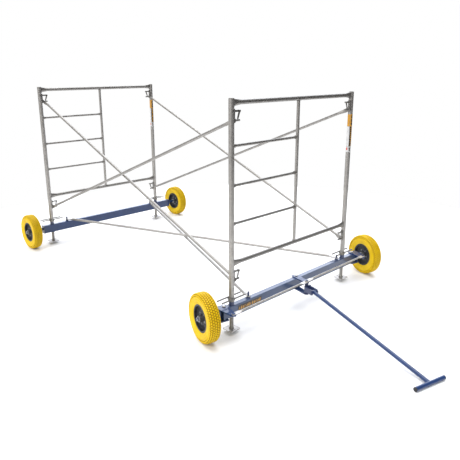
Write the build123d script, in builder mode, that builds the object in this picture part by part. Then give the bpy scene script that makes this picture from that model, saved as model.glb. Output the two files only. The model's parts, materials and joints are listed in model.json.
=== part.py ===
"""Towable frame scaffold section: two walk-through frames on wheeled beams, cross-braced and steered.

Axes: +X points the way the section is towed, +Y to its left, +Z up.
Origin: on the ground, in the middle of the length and of the track.
"""
import os
from math import asin, cos, degrees, radians, sin

from build123d import *

os.makedirs("parts", exist_ok=True)

# ---- Overall sizes (millimetres) ----
frame_spacing = 3048.0      # front frame to rear frame: a ten foot brace
leg_spacing = 1500.0        # between a frame's two leg centres
leg_offset = -50.0          # the frames sit this far off the beams' middle
leg_length = 1524.0         # a five foot frame
wheel_track = 2100.0        # between the middles of an axle's two tyres
kingpin_spacing = 1760.0
steer_angle = -14.5         # degrees, as the linkage stands here; positive steers to the left

# ---- Frames ----
leg_radius = 21.35
leg_bore = 18.75
socket_bore = 19.0          # widened mouth at a leg's top, for a coupling pin
socket_depth = 120.0
leg_hole_radius = 5.5       # cross holes for a coupling pin's lock
leg_hole_inset = 86.0
bar_radius = 16.9
bar_bore = 14.3
bar_flare_length = 95.0     # the bar's ends are pressed flat and tall
bar_flare_height = 58.0
bar_flare_width = 18.0
bar_drop = 30.0             # top bar's centre below the leg's top
bottom_bar_rise = 287.0     # bottom bar's centre above the leg's foot
first_rung_rise = 313.0     # first rung above the bottom bar
rung_pitch = 293.0
rung_count = 3
rung_radius = 10.6
rung_collar_radius = 14.0
rung_collar_length = 16.0
stile_radius = 13.5
small_tube_wall = 2.3
stile_share = 0.5           # the stile stands at this share of the frame's width

# ---- Brace locks on the legs ----
brace_drop = 1219.2         # between a leg's upper and lower lock: four feet
upper_lock_drop = 157.0     # upper lock below the leg's top
stud_radius = 8.0
stud_length = 60.0
lock_plate_height = 100.0
lock_plate_width = 24.0
lock_plate_thickness = 5.0
lock_arm_rise = 66.0        # arm's pivot above the stud
lock_arm_reach = 58.0       # arm's pivot from the leg's face
lock_arm_height = 15.0
lock_arm_thickness = 6.0
lever_thickness = 5.0
lever_half_width = 6.0
lever_toe_reach = 40.0      # toe's middle from the leg's face
lever_side_gap = 0.3
rivet_radius = 4.0
rivet_head_radius = 7.5
rivet_head = 4.0

# ---- Braces ----
brace_radius = 12.7
brace_bore = 11.1
tongue_width = 34.0
tongue_thickness = 5.0
tongue_length = 42.0        # flat end, from its hole to the taper
taper_length = 50.0
brace_hole_gap = 0.6        # radial room of a brace's hole on its stud
brace_seat = 11.5           # middle of a pair's two flat ends from the leg's face
brace_offset = 10.0         # tube's axis to the side of its own flat end
brace_cross_gap = 0.8       # between two crossed tubes at their rivet
brace_rivet_radius = 5.0
brace_rivet_head_radius = 10.0
brace_rivet_head = 4.0

# ---- Beams ----
beam_top = 234.0
beam_height = 92.0
beam_width = 50.0
beam_wall = 4.0
beam_overhang = 25.0        # past the kingpin
collar_rise = 32.0
collar_radius = 21.0
coupling_boss_radius = 15.0
coupling_boss_height = 12.0 # under the lower of the two base braces
coupling_height = 52.0
toggle_slot = 5.6
toggle_thickness = 5.0
toggle_height = 9.0
toggle_half_length = 12.0
toggle_rise = 37.0          # toggle's pivot above the beam
toggle_pin_radius = 2.5
toggle_bottom_gap = 1.0

# ---- Screw jacks ----
screw_radius = 17.0
screw_length = 610.0
screw_slide_gap = 0.5
plate_lift = 28.0           # base plates hang this far off the ground for towing
base_plate_side = 104.0
base_plate_thickness = 6.0
nail_hole_radius = 5.0
nail_hole_spacing = 76.0
nut_hub_radius = 24.0
nut_flange_radius = 30.0
nut_flange = 10.0
nut_height = 23.0
jack_handle_radius = 6.0
jack_handle_length = 250.0
handle_weld_sink = 0.8
leg_handle_gap = 0.6

# ---- Wheels ----
tyre_radius = 196.0
tyre_shoulder_radius = 168.0
tyre_half_width = 48.0
tread_half_width = 32.0
crown_drop = 3.0
rim_radius = 110.0
rim_seat_radius = 100.0
rim_half_width = 37.5
rim_flange = 3.5
rim_wall = 4.0
disc_thickness = 6.0
hub_radius = 26.0
hub_half_length = 50.0
bearing_radius = 21.0
bearing_width = 12.0
bearing_press_gap = 0.02
axle_radius = 10.0
axle_spacer_radius = 14.0
axle_nut_radius = 15.0
axle_nut = 12.0
axle_end = 4.0

# ---- Steering and towing ----
steer_arm_length = 150.0
arm_plate = 10.0
arm_tip_radius = 21.0
arm_root_width = 56.0
arm_root_back = 34.0
knuckle_width = 64.0
knuckle_inboard = 28.0
knuckle_back_gap = 45.0     # kingpin to the inner face of the back plate
knuckle_back = 10.0
kingpin_radius = 10.0
kingpin_sleeve_radius = 15.0
kingpin_head_radius = 16.0
kingpin_head = 8.0
tie_rod_radius = 8.0
tie_tongue_width = 34.0
tie_tongue_thickness = 5.0
tie_tongue_length = 62.0
tie_taper_length = 26.0
tie_pin_radius = 8.0
tie_pin_head_radius = 13.0
tie_pin_head = 6.0
open_pivot_gap = 0.5        # radial room at the knuckle end of each tie rod
head_post_radius = 15.0
head_web = 16.0
head_height = 58.0
cheek_thickness = 8.0
cheek_gap = 44.0
cheek_radius = 22.0
tow_pivot_reach = 250.0
tow_pivot_height = 187.0
tow_pin_radius = 8.0
tow_pin_head_radius = 13.0
tow_pin_head = 6.0
tow_sleeve_radius = 17.0
tow_sleeve_gap = 0.5
tow_tube_radius = 15.0
tow_tube_bore = 12.2
handle_radius = 16.0
handle_bore = 13.2
handle_reach = 1478.0       # T-handle's axis ahead of the steering pivot, along the bar
handle_ground_gap = 1.0
handle_length = 280.0
handle_cap = 5.0

# ---- Clearances ----
running_gap = 0.05          # radial, every pin and shaft that turns
face_gap = 0.3              # between flat faces that slide past each other

# ---- Places worked out from the sizes ----
forward = Vector(cos(radians(steer_angle)), sin(radians(steer_angle)), 0)
leftward = Vector(-forward.Y, forward.X, 0)
up = Vector(0, 0, 1)
nose_reach = (handle_reach * forward.X + handle_length / 2 * abs(forward.Y)
              + handle_radius * forward.X)
front_x = (frame_spacing + tyre_radius - nose_reach) / 2
rear_x = front_x - frame_spacing
beam_xs = {"front": front_x, "rear": rear_x}
sides = {"right": -1, "left": 1}
leg_ys = {side: leg_offset + sign * leg_spacing / 2 for side, sign in sides.items()}
coupling_ys = {side: sign * brace_drop / 2 for side, sign in sides.items()}
kingpin_ys = {side: sign * kingpin_spacing / 2 for side, sign in sides.items()}

beam_bottom = beam_top - beam_height
collar_top = beam_top + collar_rise
leg_bottom = collar_top + nut_height
leg_top = leg_bottom + leg_length
top_bar_z = leg_top - bar_drop
bottom_bar_z = leg_bottom + bottom_bar_rise
rung_zs = [bottom_bar_z + first_rung_rise + level * rung_pitch for level in range(rung_count)]
stile_y = leg_ys["right"] + stile_share * leg_spacing
lock_zs = {"upper": leg_top - upper_lock_drop}
lock_zs["lower"] = lock_zs["upper"] - brace_drop
brace_half_gap = brace_radius + brace_cross_gap / 2
seat_step = brace_half_gap - brace_offset
coupling_seat_z = beam_top + coupling_boss_height + tongue_thickness / 2 + seat_step

axle_reach = (wheel_track - kingpin_spacing) / 2
top_plate_z = beam_top + face_gap
bottom_plate_z = beam_bottom - face_gap - arm_plate
rod_levels = {"right": top_plate_z + arm_plate + face_gap}
rod_levels["left"] = rod_levels["right"] + tie_tongue_thickness + face_gap
upper_pin_top = rod_levels["left"] + tie_tongue_thickness + face_gap
handle_height = handle_radius + handle_ground_gap
tow_run = handle_reach - tow_pivot_reach
tow_drop = tow_pivot_height - handle_height
tow_length = (tow_run**2 + tow_drop**2) ** 0.5
tow_pitch = degrees(asin(tow_drop / tow_length))


def upright_disc(x, y, z, radius, height, mode=Mode.ADD):
    """Extrude one round post from z upwards inside the open part."""
    with BuildSketch(Plane.XY.offset(z)) as disc:
        with Locations((x, y)):
            Circle(radius)
    extrude(disc.sketch, amount=height, mode=mode)


def rod(start, end, radius, mode=Mode.ADD):
    """Extrude one round rod between two points inside the open part."""
    with BuildSketch(Plane(origin=start, z_dir=end - start)) as section:
        Circle(radius)
    extrude(section.sketch, amount=(end - start).length, mode=mode)


def steered_plane(pivot_y, z):
    """Horizontal plane on a steering pivot, its x axis along the steered heading."""
    return Plane(origin=(front_x, pivot_y, z), x_dir=forward, z_dir=up)


# ---- Frame legs ----
for end, x in beam_xs.items():
    for side, y in leg_ys.items():
        with BuildPart() as leg:
            upright_disc(x, y, leg_bottom, leg_radius, leg_length)
            upright_disc(x, y, leg_bottom, leg_bore, leg_length, Mode.SUBTRACT)
            upright_disc(x, y, leg_top - socket_depth, socket_bore, socket_depth, Mode.SUBTRACT)
            for z in (leg_bottom + leg_hole_inset, leg_top - leg_hole_inset):
                rod(Vector(x - 2 * leg_radius, y, z), Vector(x + 2 * leg_radius, y, z),
                    leg_hole_radius, Mode.SUBTRACT)
        leg.part.label = f"{end}_{side}_leg"
        export_step(leg.part, f"parts/{end}_{side}_leg.step")

# ---- Top and bottom bars, flared where they meet the legs ----
for end, x in beam_xs.items():
    with BuildPart() as bars:
        for z in (top_bar_z, bottom_bar_z):
            flare_ends = [Vector(x, leg_ys["right"] + bar_flare_length, z),
                          Vector(x, leg_ys["left"] - bar_flare_length, z)]
            rod(flare_ends[0], flare_ends[1], bar_radius)
            rod(flare_ends[0], flare_ends[1], bar_bore, Mode.SUBTRACT)
            for side, sign in sides.items():
                across = Vector(0, -sign, 0)
                root = Vector(x, leg_ys[side], z)
                with BuildSketch(Plane(origin=root + across * bar_flare_length, x_dir=up, z_dir=across)):
                    Circle(bar_radius)
                with BuildSketch(Plane(origin=root, x_dir=up, z_dir=across)):
                    RectangleRounded(bar_flare_height, bar_flare_width, bar_flare_width / 2 - 1)
                loft()
        for y in leg_ys.values():
            upright_disc(x, y, leg_bottom, leg_radius, leg_length, Mode.SUBTRACT)
    bars.part.label = f"{end}_cross_bars"
    export_step(bars.part, f"parts/{end}_cross_bars.step")

# ---- Ladder: one stile between the bars, with rungs out to the right leg ----
for end, x in beam_xs.items():
    with BuildPart() as stile:
        upright_disc(x, stile_y, bottom_bar_z, stile_radius, top_bar_z - bottom_bar_z)
        upright_disc(x, stile_y, bottom_bar_z, stile_radius - small_tube_wall,
                     top_bar_z - bottom_bar_z, Mode.SUBTRACT)
        for z in (top_bar_z, bottom_bar_z):
            rod(Vector(x, stile_y - 2 * bar_radius, z), Vector(x, stile_y + 2 * bar_radius, z),
                bar_radius, Mode.SUBTRACT)
    stile.part.label = f"{end}_stile"
    export_step(stile.part, f"parts/{end}_stile.step")

    with BuildPart() as rungs:
        for z in rung_zs:
            leg_end = Vector(x, leg_ys["right"], z)
            stile_end = Vector(x, stile_y, z)
            inward = Vector(0, 1, 0)
            rod(leg_end, stile_end, rung_radius)
            for root, reach in ((leg_end, leg_radius), (stile_end, -stile_radius)):
                seat = root + inward * reach
                rod(root, seat + inward * (rung_collar_length if reach > 0 else -rung_collar_length),
                    rung_collar_radius)
            rod(leg_end, stile_end, rung_radius - small_tube_wall, Mode.SUBTRACT)
        upright_disc(x, leg_ys["right"], leg_bottom, leg_radius, leg_length, Mode.SUBTRACT)
        with BuildSketch(Plane.XY.offset(leg_bottom)):
            with Locations((x, stile_y + rung_collar_radius)):
                Rectangle(4 * stile_radius, 2 * rung_collar_radius)
        extrude(amount=leg_length, mode=Mode.SUBTRACT)
        upright_disc(x, stile_y, leg_bottom, stile_radius, leg_length, Mode.SUBTRACT)
    rungs.part.label = f"{end}_rungs"
    export_step(rungs.part, f"parts/{end}_rungs.step")

# ---- Brace locks: plate, stud and arm on each leg, with a gravity lever on the arm ----
lock_seats = [(f"{end}_{side}_{level}", x, leg_ys[side], -sign, z)
              for end, x in beam_xs.items()
              for side, sign in sides.items()
              for level, z in lock_zs.items()]
lever_toe_rise = stud_radius + face_gap + lever_half_width

with BuildPart() as lock_brackets:
    for name, x, y, inward, z in lock_seats:
        face_y = y + inward * leg_radius
        pivot = Vector(x, face_y + inward * lock_arm_reach, z + lock_arm_rise)
        with BuildSketch(Plane(origin=(x, y, z + lock_arm_rise / 2), z_dir=(0, inward, 0), x_dir=(1, 0, 0))):
            Rectangle(lock_plate_width, lock_plate_height)
        extrude(amount=leg_radius + lock_plate_thickness)
        rod(Vector(x, y, z), Vector(x, face_y + inward * stud_length, z), stud_radius)
        with BuildSketch(Plane(origin=(x, y, pivot.Z), x_dir=(0, inward, 0), z_dir=(-inward, 0, 0))):
            with Locations(((leg_radius + lock_arm_reach) / 2, 0)):
                Rectangle(leg_radius + lock_arm_reach, lock_arm_height)
            with Locations((leg_radius + lock_arm_reach, 0)):
                Circle(lock_arm_height / 2)
        extrude(amount=lock_arm_thickness * inward)
        rod(pivot - Vector(lock_arm_thickness + rivet_head, 0, 0), pivot - Vector(lock_arm_thickness, 0, 0),
            rivet_head_radius)
        rivet_end = pivot + Vector(lever_side_gap * 2 + lever_thickness, 0, 0)
        rod(pivot, rivet_end, rivet_radius)
        rod(rivet_end, rivet_end + Vector(rivet_head, 0, 0), rivet_head_radius)
    for x in beam_xs.values():
        for y in leg_ys.values():
            upright_disc(x, y, leg_bottom, leg_radius, leg_length, Mode.SUBTRACT)
lock_brackets.part.label = "lock_brackets"
export_step(lock_brackets.part, "parts/lock_brackets.step")

for name, x, y, inward, z in lock_seats:
    face_y = y + inward * leg_radius
    lever_plane = Plane(origin=(x + lever_side_gap, 0, 0), x_dir=(0, 1, 0), z_dir=(1, 0, 0))
    pivot_point = (face_y + inward * lock_arm_reach, z + lock_arm_rise)
    toe_point = (face_y + inward * lever_toe_reach, z + lever_toe_rise)
    with BuildPart() as lever:
        with BuildSketch(lever_plane):
            with Locations(pivot_point):
                Circle(lock_arm_height / 2)
            with Locations(toe_point):
                Circle(lever_half_width)
            make_hull()
            with Locations(pivot_point):
                Circle(rivet_radius + running_gap, mode=Mode.SUBTRACT)
        extrude(amount=lever_thickness)
    lever.part.label = f"{name}_lever"
    export_step(lever.part, f"parts/{name}_lever.step")


# ---- Cross braces: three crossed pairs of tubes with flattened, pierced ends ----
def brace_end(tip, along, normal, offset):
    """Add a brace's flat end and its taper to the open part, and return where the round tube starts."""
    with BuildSketch(Plane(origin=tip - normal * (tongue_thickness / 2), x_dir=along, z_dir=normal)) as flat:
        Circle(tongue_width / 2)
        with Locations((tongue_length / 2, 0)):
            Rectangle(tongue_length, tongue_width)
        Circle(stud_radius + brace_hole_gap, mode=Mode.SUBTRACT)
    extrude(flat.sketch, amount=tongue_thickness)
    with BuildSketch(Plane(origin=tip + along * tongue_length, x_dir=normal, z_dir=along)) as flat_end:
        RectangleRounded(tongue_thickness, tongue_width, tongue_thickness / 2 - 0.1)
    tube_start = tip + along * (tongue_length + taper_length) + normal * offset
    with BuildSketch(Plane(origin=tube_start, x_dir=normal, z_dir=along)) as round_end:
        Circle(brace_radius)
    loft([flat_end.sketch, round_end.sketch])
    return tube_start


def crossed_pair(normal, rear_tips, front_tips):
    """Return a pair's crossing point, its normal and its two braces' tips, each with the way it is offset."""
    crossing = sum((*rear_tips, *front_tips), Vector()) * 0.25
    braces = []
    for rear_tip, front_tip, way in zip(rear_tips, reversed(front_tips), (1, -1)):
        step = normal * (way * seat_step)
        braces.append((rear_tip + step, front_tip + step, way))
    return crossing, normal, braces


brace_pairs = {}
for side, sign in sides.items():
    seat_y = leg_ys[side] - sign * (leg_radius + brace_seat)
    brace_pairs[f"{side}_side"] = crossed_pair(
        Vector(0, 1, 0),
        [Vector(rear_x, seat_y, lock_zs[level]) for level in ("upper", "lower")],
        [Vector(front_x, seat_y, lock_zs[level]) for level in ("upper", "lower")],
    )
brace_pairs["base"] = crossed_pair(
    up,
    [Vector(rear_x, y, coupling_seat_z) for y in coupling_ys.values()],
    [Vector(front_x, y, coupling_seat_z) for y in coupling_ys.values()],
)

for pair, (crossing, normal, braces) in brace_pairs.items():
    for number, (rear_tip, front_tip, way) in enumerate(braces, start=1):
        along = (front_tip - rear_tip).normalized()
        with BuildPart() as brace:
            tube_back = brace_end(rear_tip, along, normal, way * brace_offset)
            tube_front = brace_end(front_tip, along * -1, normal, way * brace_offset)
            rod(tube_back, tube_front, brace_radius)
            rod(tube_back, tube_front, brace_bore, Mode.SUBTRACT)
            reach = normal * (2 * brace_half_gap + brace_radius)
            rod(crossing - reach, crossing + reach, brace_rivet_radius + running_gap, Mode.SUBTRACT)
        brace.part.label = f"{pair}_brace_{number}"
        export_step(brace.part, f"parts/{pair}_brace_{number}.step")

with BuildPart() as brace_rivets:
    for crossing, normal, braces in brace_pairs.values():
        grip = normal * (brace_half_gap + brace_radius)
        rod(crossing - grip, crossing + grip, brace_rivet_radius)
        for face in (grip, grip * -1):
            rod(crossing + face, crossing + face + face.normalized() * brace_rivet_head,
                brace_rivet_head_radius)
brace_rivets.part.label = "brace_rivets"
export_step(brace_rivets.part, "parts/brace_rivets.step")

# ---- Beams: box tubes with jack sleeves, coupling studs and, in front, kingpin sleeves ----
beam_length = kingpin_spacing + 2 * beam_overhang
pivot_ys = [kingpin_ys["right"], 0.0, kingpin_ys["left"]]
for end, x in beam_xs.items():
    with BuildPart() as beam:
        with BuildSketch(Plane(origin=(x, -beam_length / 2, beam_top - beam_height / 2),
                               x_dir=(1, 0, 0), z_dir=(0, 1, 0))):
            RectangleRounded(beam_width, beam_height, beam_wall)
            Rectangle(beam_width - 2 * beam_wall, beam_height - 2 * beam_wall, mode=Mode.SUBTRACT)
        extrude(amount=beam_length)
        if end == "front":
            for y in pivot_ys:
                upright_disc(x, y, beam_bottom, kingpin_sleeve_radius, beam_height)
                upright_disc(x, y, beam_bottom, kingpin_radius + running_gap, beam_height, Mode.SUBTRACT)
        for y in leg_ys.values():
            upright_disc(x, y, beam_bottom, collar_radius, beam_height, Mode.SUBTRACT)
    beam.part.label = f"{end}_beam"
    export_step(beam.part, f"parts/{end}_beam.step")

with BuildPart() as leg_collars:
    for x in beam_xs.values():
        for y in leg_ys.values():
            upright_disc(x, y, beam_bottom, collar_radius, collar_top - beam_bottom)
            upright_disc(x, y, beam_bottom, screw_radius + screw_slide_gap,
                         collar_top - beam_bottom, Mode.SUBTRACT)
leg_collars.part.label = "leg_collars"
export_step(leg_collars.part, "parts/leg_collars.step")

with BuildPart() as coupling_studs:
    slot_bottom = beam_top + toggle_rise - toggle_half_length - toggle_bottom_gap
    for rear_tip, front_tip, way in brace_pairs["base"][2]:
        for tip in (rear_tip, front_tip):
            upright_disc(tip.X, tip.Y, beam_top, coupling_boss_radius, tip.Z - tongue_thickness / 2 - beam_top)
    for x in beam_xs.values():
        for y in coupling_ys.values():
            upright_disc(x, y, beam_top, stud_radius, coupling_height)
            with BuildSketch(Plane.XY.offset(slot_bottom)):
                with Locations((x, y)):
                    Rectangle(toggle_slot, 2 * stud_radius)
            extrude(amount=coupling_height, mode=Mode.SUBTRACT)
            pivot = Vector(x, y, beam_top + toggle_rise)
            rod(pivot - Vector(stud_radius - 1, 0, 0), pivot + Vector(stud_radius - 1, 0, 0),
                toggle_pin_radius)
coupling_studs.part.label = "coupling_studs"
export_step(coupling_studs.part, "parts/coupling_studs.step")

for end, x in beam_xs.items():
    for side, y in coupling_ys.items():
        with BuildPart() as toggle:
            with BuildSketch(Plane(origin=(x - toggle_thickness / 2, y, beam_top + toggle_rise),
                                   x_dir=(0, 1, 0), z_dir=(1, 0, 0))):
                SlotOverall(2 * toggle_half_length, toggle_height)
                Circle(toggle_pin_radius + running_gap, mode=Mode.SUBTRACT)
            extrude(amount=toggle_thickness)
        toggle.part.label = f"{end}_{side}_toggle"
        export_step(toggle.part, f"parts/{end}_{side}_toggle.step")

# ---- Screw jacks: a screw with its base plate, and a nut with two handle rods under each leg ----
for end, x in beam_xs.items():
    for side, y in leg_ys.items():
        with BuildPart() as screw:
            with BuildSketch(Plane.XY.offset(plate_lift)):
                with Locations((x, y)):
                    Rectangle(base_plate_side, base_plate_side)
                with Locations((x - nail_hole_spacing / 2, y), (x + nail_hole_spacing / 2, y)):
                    Circle(nail_hole_radius, mode=Mode.SUBTRACT)
            extrude(amount=base_plate_thickness)
            upright_disc(x, y, plate_lift + base_plate_thickness, screw_radius,
                         screw_length - base_plate_thickness)
        screw.part.label = f"{end}_{side}_jack_screw"
        export_step(screw.part, f"parts/{end}_{side}_jack_screw.step")

        nut_bottom = collar_top + face_gap
        nut_top = leg_bottom - face_gap
        rod_x = leg_radius + leg_handle_gap + jack_handle_radius
        rod_z = nut_top + jack_handle_radius - handle_weld_sink
        with BuildPart() as nut:
            upright_disc(x, y, nut_bottom, nut_hub_radius, nut_top - nut_bottom)
            upright_disc(x, y, nut_top - nut_flange, nut_flange_radius, nut_flange)
            for offset in (-rod_x, rod_x):
                rod(Vector(x + offset, y - jack_handle_length / 2, rod_z),
                    Vector(x + offset, y + jack_handle_length / 2, rod_z), jack_handle_radius)
            upright_disc(x, y, nut_bottom, screw_radius + running_gap, nut_top - nut_bottom, Mode.SUBTRACT)
        nut.part.label = f"{end}_{side}_jack_nut"
        export_step(nut.part, f"parts/{end}_{side}_jack_nut.step")


# ---- Wheels ----
def wheel_place(end, side):
    """Return the wheel's centre, its axle direction to the left, and its heading."""
    if end == "rear":
        return Vector(rear_x, sides[side] * wheel_track / 2, tyre_radius), Vector(0, 1, 0), Vector(1, 0, 0)
    kingpin = Vector(front_x, kingpin_ys[side], tyre_radius)
    return kingpin + leftward * (sides[side] * axle_reach), leftward, forward


for end in beam_xs:
    for side in sides:
        centre, axle_dir, heading = wheel_place(end, side)
        wheel_plane = Plane(origin=centre, x_dir=axle_dir, z_dir=heading)
        axle_line = Axis(centre, axle_dir)
        bead = rim_half_width - rim_flange
        crown_edge = (tread_half_width, tyre_radius - crown_drop)
        shoulder = (tyre_half_width, tyre_shoulder_radius)

        with BuildPart() as tyre:
            with BuildSketch(wheel_plane):
                with BuildLine():
                    ThreePointArc((0, tyre_radius), (tread_half_width / 2, tyre_radius - crown_drop / 4),
                                  crown_edge)
                    ThreePointArc(crown_edge, (tyre_half_width - 4, tyre_shoulder_radius + 16), shoulder)
                    ThreePointArc(shoulder, (tyre_half_width - 1, (tyre_shoulder_radius + rim_radius) / 2),
                                  (rim_half_width, rim_radius))
                    Polyline((rim_half_width, rim_radius), (bead, rim_radius),
                             (bead, rim_seat_radius), (0, rim_seat_radius))
                    mirror(about=Plane.YZ)
                make_face()
            revolve(axis=axle_line)
        tyre.part.label = f"{end}_{side}_tyre"
        export_step(tyre.part, f"parts/{end}_{side}_tyre.step")

        with BuildPart() as rim:
            with BuildSketch(wheel_plane):
                with BuildLine():
                    Polyline((0, rim_seat_radius), (bead, rim_seat_radius), (bead, rim_radius),
                             (rim_half_width, rim_radius), (rim_half_width, rim_seat_radius - rim_wall),
                             (disc_thickness / 2, rim_seat_radius - rim_wall),
                             (disc_thickness / 2, hub_radius), (hub_half_length, hub_radius),
                             (hub_half_length, bearing_radius + bearing_press_gap),
                             (hub_half_length - bearing_width, bearing_radius + bearing_press_gap),
                             (hub_half_length - bearing_width, axle_spacer_radius), (0, axle_spacer_radius))
                    mirror(about=Plane.YZ)
                make_face()
            revolve(axis=axle_line)
            for outward in (axle_dir, axle_dir * -1):
                bearing_face = centre + outward * hub_half_length
                with BuildSketch(Plane(origin=bearing_face, x_dir=up, z_dir=outward * -1)):
                    Circle(bearing_radius)
                    Circle(axle_radius + running_gap, mode=Mode.SUBTRACT)
                extrude(amount=bearing_width - bearing_press_gap)
        rim.part.label = f"{end}_{side}_rim"
        export_step(rim.part, f"parts/{end}_{side}_rim.step")


def stub_axle(centre, outward, root_distance):
    """Add a stub axle, its spacer and its nut to the open part, root_distance inboard of the wheel."""
    root = centre - outward * root_distance
    hub_face = hub_half_length + face_gap
    nut_start = centre + outward * hub_face
    tip = nut_start + outward * (axle_nut + axle_end)
    rod(root, centre - outward * hub_face, axle_spacer_radius)
    rod(root, tip, axle_radius)
    rod(nut_start, nut_start + outward * axle_nut, axle_nut_radius)


# ---- Rear stub axles, welded to plates on the beam's ends ----
with BuildPart() as rear_axles:
    for side, sign in sides.items():
        centre, axle_dir, heading = wheel_place("rear", side)
        outward = Vector(0, sign, 0)
        with BuildSketch(Plane(origin=(rear_x, sign * beam_length / 2, beam_top - beam_height / 2),
                               x_dir=(1, 0, 0), z_dir=outward)):
            RectangleRounded(knuckle_width, beam_height, beam_wall)
        extrude(amount=knuckle_back)
        stub_axle(centre, outward, wheel_track / 2 - beam_length / 2 - knuckle_back / 2)
rear_axles.part.label = "rear_axles"
export_step(rear_axles.part, "parts/rear_axles.step")

# ---- Kingpins and the steering arm's pivot, bolted through the front beam ----
pin_top = top_plate_z + arm_plate + face_gap
pin_bottom = bottom_plate_z - face_gap
with BuildPart() as pivot_pins:
    for y in pivot_ys:
        upright_disc(front_x, y, pin_bottom, kingpin_radius, pin_top - pin_bottom)
        upright_disc(front_x, y, pin_top, kingpin_head_radius, kingpin_head)
        upright_disc(front_x, y, pin_bottom - kingpin_head, kingpin_head_radius, kingpin_head)
pivot_pins.part.label = "pivot_pins"
export_step(pivot_pins.part, "parts/pivot_pins.step")


def arm_outline(pivot_y, z, saddle_back, saddle_front, saddle_right, saddle_left):
    """Extrude a steering plate: a saddle over the pivot, drawn in to a rounded tip."""
    with BuildSketch(steered_plane(pivot_y, z)) as outline:
        with Locations(((saddle_front - saddle_back) / 2, (saddle_left - saddle_right) / 2)):
            Rectangle(saddle_front + saddle_back, saddle_left + saddle_right)
        with Locations((steer_arm_length, 0)):
            Circle(arm_tip_radius)
        make_hull()
        Circle(kingpin_radius + running_gap, mode=Mode.SUBTRACT)
    extrude(outline.sketch, amount=arm_plate)


def tie_pin(pivot_y, level, base_z, head_z):
    """Add a tie rod's pin, with a spacer up to its rod's level and a head above it."""
    tip = Vector(front_x, pivot_y, 0) + forward * steer_arm_length
    if level > base_z + 2 * face_gap:
        upright_disc(tip.X, tip.Y, base_z, tie_pin_head_radius, level - face_gap - base_z)
    upright_disc(tip.X, tip.Y, base_z, tie_pin_radius, head_z - base_z)
    upright_disc(tip.X, tip.Y, head_z, tie_pin_head_radius, tie_pin_head)


# ---- Knuckles: a bracket over each end of the front beam, with its steering arm and stub axle ----
for side, sign in sides.items():
    centre, axle_dir, heading = wheel_place("front", side)
    outward = leftward * sign
    pivot_y = kingpin_ys[side]
    outboard = knuckle_back_gap + knuckle_back
    reach_right, reach_left = (outboard, knuckle_inboard) if sign < 0 else (knuckle_inboard, outboard)
    knuckle_height = top_plate_z + arm_plate - bottom_plate_z
    with BuildPart() as knuckle:
        arm_outline(pivot_y, top_plate_z, knuckle_width / 2, knuckle_width / 2, reach_right, reach_left)
        with BuildSketch(steered_plane(pivot_y, bottom_plate_z)):
            with Locations((0, (reach_left - reach_right) / 2)):
                Rectangle(knuckle_width, reach_left + reach_right)
            Circle(kingpin_radius + running_gap, mode=Mode.SUBTRACT)
        extrude(amount=arm_plate)
        with BuildSketch(steered_plane(pivot_y, bottom_plate_z)):
            with Locations((0, sign * (knuckle_back_gap + knuckle_back / 2))):
                Rectangle(knuckle_width, knuckle_back)
        extrude(amount=knuckle_height)
        stub_axle(centre, outward, axle_reach - knuckle_back_gap - knuckle_back / 2)
        tie_pin(pivot_y, rod_levels[side], top_plate_z + arm_plate,
                rod_levels[side] + tie_tongue_thickness + face_gap)
    knuckle.part.label = f"{side}_knuckle"
    export_step(knuckle.part, f"parts/{side}_knuckle.step")

# ---- Steering arm: two plates on the middle pivot, joined by the post of the tow head ----
head_tip = Vector(front_x, 0, 0) + forward * steer_arm_length
tow_pivot = Vector(front_x, 0, tow_pivot_height) + forward * tow_pivot_reach
cheek_outer = cheek_gap / 2 + cheek_thickness
with BuildPart() as steering_arm:
    for z in (top_plate_z, bottom_plate_z):
        arm_outline(0, z, arm_root_back, knuckle_width / 2, arm_root_width / 2, arm_root_width / 2)
    upright_disc(head_tip.X, head_tip.Y, bottom_plate_z, head_post_radius,
                 top_plate_z + arm_plate - bottom_plate_z)
    with BuildSketch(steered_plane(0, tow_pivot_height - head_height / 2)):
        with Locations((steer_arm_length + head_post_radius, 0)):
            Rectangle(head_web, 2 * cheek_outer)
    extrude(amount=head_height)
    for sign in sides.values():
        cheek_start = tow_pivot + leftward * (sign * (cheek_gap / 2 + cheek_thickness / 2))
        with BuildSketch(Plane(origin=cheek_start, x_dir=forward, z_dir=leftward)):
            cheek_back = tow_pivot_reach - steer_arm_length - head_post_radius
            Circle(cheek_radius)
            with Locations((-cheek_back / 2, 0)):
                Rectangle(cheek_back, 2 * cheek_radius)
            Circle(tow_pin_radius - running_gap, mode=Mode.SUBTRACT)
        extrude(amount=cheek_thickness / 2, both=True)
    rod(tow_pivot - leftward * cheek_outer, tow_pivot + leftward * cheek_outer, tow_pin_radius)
    for sign in sides.values():
        face = tow_pivot + leftward * (sign * cheek_outer)
        rod(face, face + leftward * (sign * tow_pin_head), tow_pin_head_radius)
    tie_pin(0, rod_levels["right"], top_plate_z + arm_plate, upper_pin_top)
steering_arm.part.label = "steering_arm"
export_step(steering_arm.part, "parts/steering_arm.step")

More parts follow.
